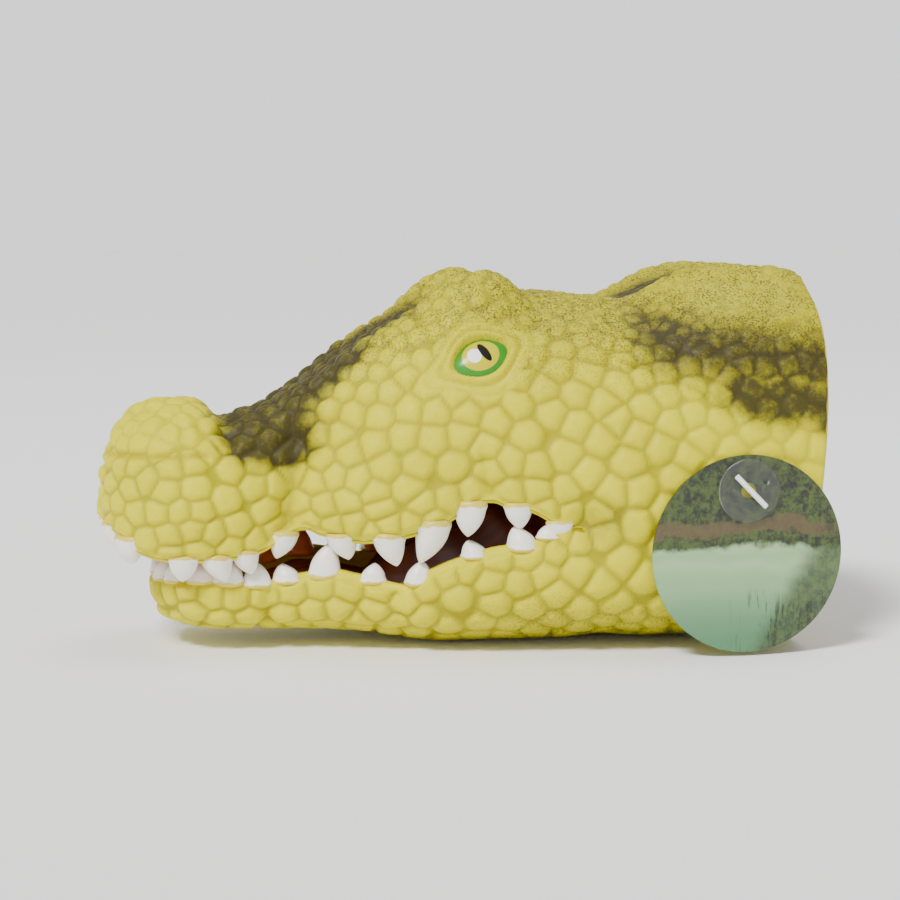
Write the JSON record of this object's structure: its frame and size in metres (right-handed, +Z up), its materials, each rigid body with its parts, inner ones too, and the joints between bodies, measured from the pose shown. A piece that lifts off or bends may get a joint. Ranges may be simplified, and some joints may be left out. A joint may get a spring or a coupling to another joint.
{
  "type": "moving mouth hand puppet",
  "caption": "Hollow rubber crocodile head hand puppet with an opening jaw, teeth, lined mouth, open neck for the hand, and a swinging hang tag.",
  "frame": {"origin": "on the table, under the middle of the neck sleeve's flat underside", "axes": "+Z up, the snout points to -Y, the hand opening faces +Y, the animal's left is +X"},
  "size_m": [0.0988, 0.1715, 0.0915],
  "materials": {
    "rubber_skin": "yellow-green moulded soft rubber, dark airbrushed top",
    "rubber_lining": "orange rubber mouth lining, satin",
    "tooth_paint": "rubber teeth brushed white on the outside",
    "eye_paint": "gloss green paint with a yellow iris and black slit",
    "printed_card": "coated card, printed swamp picture",
    "clear_washer": "clear flexible film disc",
    "tack_plastic": "white moulded tag fastener"
  },
  "bodies": {
    "head": {"head_skin": "rubber_skin", "neck_sleeve": "rubber_skin", "throat_web": "rubber_skin", "palate_lining": "rubber_lining", "eye_left": "eye_paint", "eye_right": "eye_paint", "upper_tooth_left_1": "tooth_paint", "upper_tooth_left_2": "tooth_paint", "upper_tooth_left_3": "tooth_paint", "upper_tooth_left_4": "tooth_paint", "upper_tooth_left_5": "tooth_paint", "upper_tooth_left_6": "tooth_paint", "upper_tooth_left_7": "tooth_paint", "upper_tooth_left_8": "tooth_paint", "upper_tooth_left_9": "tooth_paint", "upper_tooth_left_10": "tooth_paint", "upper_tooth_left_11": "tooth_paint", "upper_tooth_left_12": "tooth_paint", "upper_tooth_right_1": "tooth_paint", "upper_tooth_right_2": "tooth_paint", "upper_tooth_right_3": "tooth_paint", "upper_tooth_right_4": "tooth_paint", "upper_tooth_right_5": "tooth_paint", "upper_tooth_right_6": "tooth_paint", "upper_tooth_right_7": "tooth_paint", "upper_tooth_right_8": "tooth_paint", "upper_tooth_right_9": "tooth_paint", "upper_tooth_right_10": "tooth_paint", "upper_tooth_right_11": "tooth_paint", "upper_tooth_right_12": "tooth_paint", "tag_tack": "tack_plastic"},
    "jaw": {"jaw_skin": "rubber_skin", "floor_lining": "rubber_lining", "lower_tooth_left_1": "tooth_paint", "lower_tooth_left_2": "tooth_paint", "lower_tooth_left_3": "tooth_paint", "lower_tooth_left_4": "tooth_paint", "lower_tooth_left_5": "tooth_paint", "lower_tooth_left_6": "tooth_paint", "lower_tooth_left_7": "tooth_paint", "lower_tooth_left_8": "tooth_paint", "lower_tooth_left_9": "tooth_paint", "lower_tooth_left_10": "tooth_paint", "lower_tooth_left_11": "tooth_paint", "lower_tooth_left_12": "tooth_paint", "lower_tooth_right_1": "tooth_paint", "lower_tooth_right_2": "tooth_paint", "lower_tooth_right_3": "tooth_paint", "lower_tooth_right_4": "tooth_paint", "lower_tooth_right_5": "tooth_paint", "lower_tooth_right_6": "tooth_paint", "lower_tooth_right_7": "tooth_paint", "lower_tooth_right_8": "tooth_paint", "lower_tooth_right_9": "tooth_paint", "lower_tooth_right_10": "tooth_paint", "lower_tooth_right_11": "tooth_paint", "lower_tooth_right_12": "tooth_paint"},
    "hang_tag": {"tag_card": "printed_card", "tag_washer": "clear_washer"}
  },
  "joints": [
    {"name": "jaw_open", "type": "hinge", "parent": "head", "child": "jaw", "pos_m": [0, -0.0392, 0.03118], "axis": [1, 0, 0], "range_deg": [0, 40], "stiffness_Nm_per_rad": 0.5, "deforming": ["throat_web"]},
    {"name": "tag_swing", "type": "hinge", "parent": "head", "child": "hang_tag", "pos_m": [0.0485, 0, 0.0395], "axis": [1, 0, 0], "continuous": true}
  ]
}
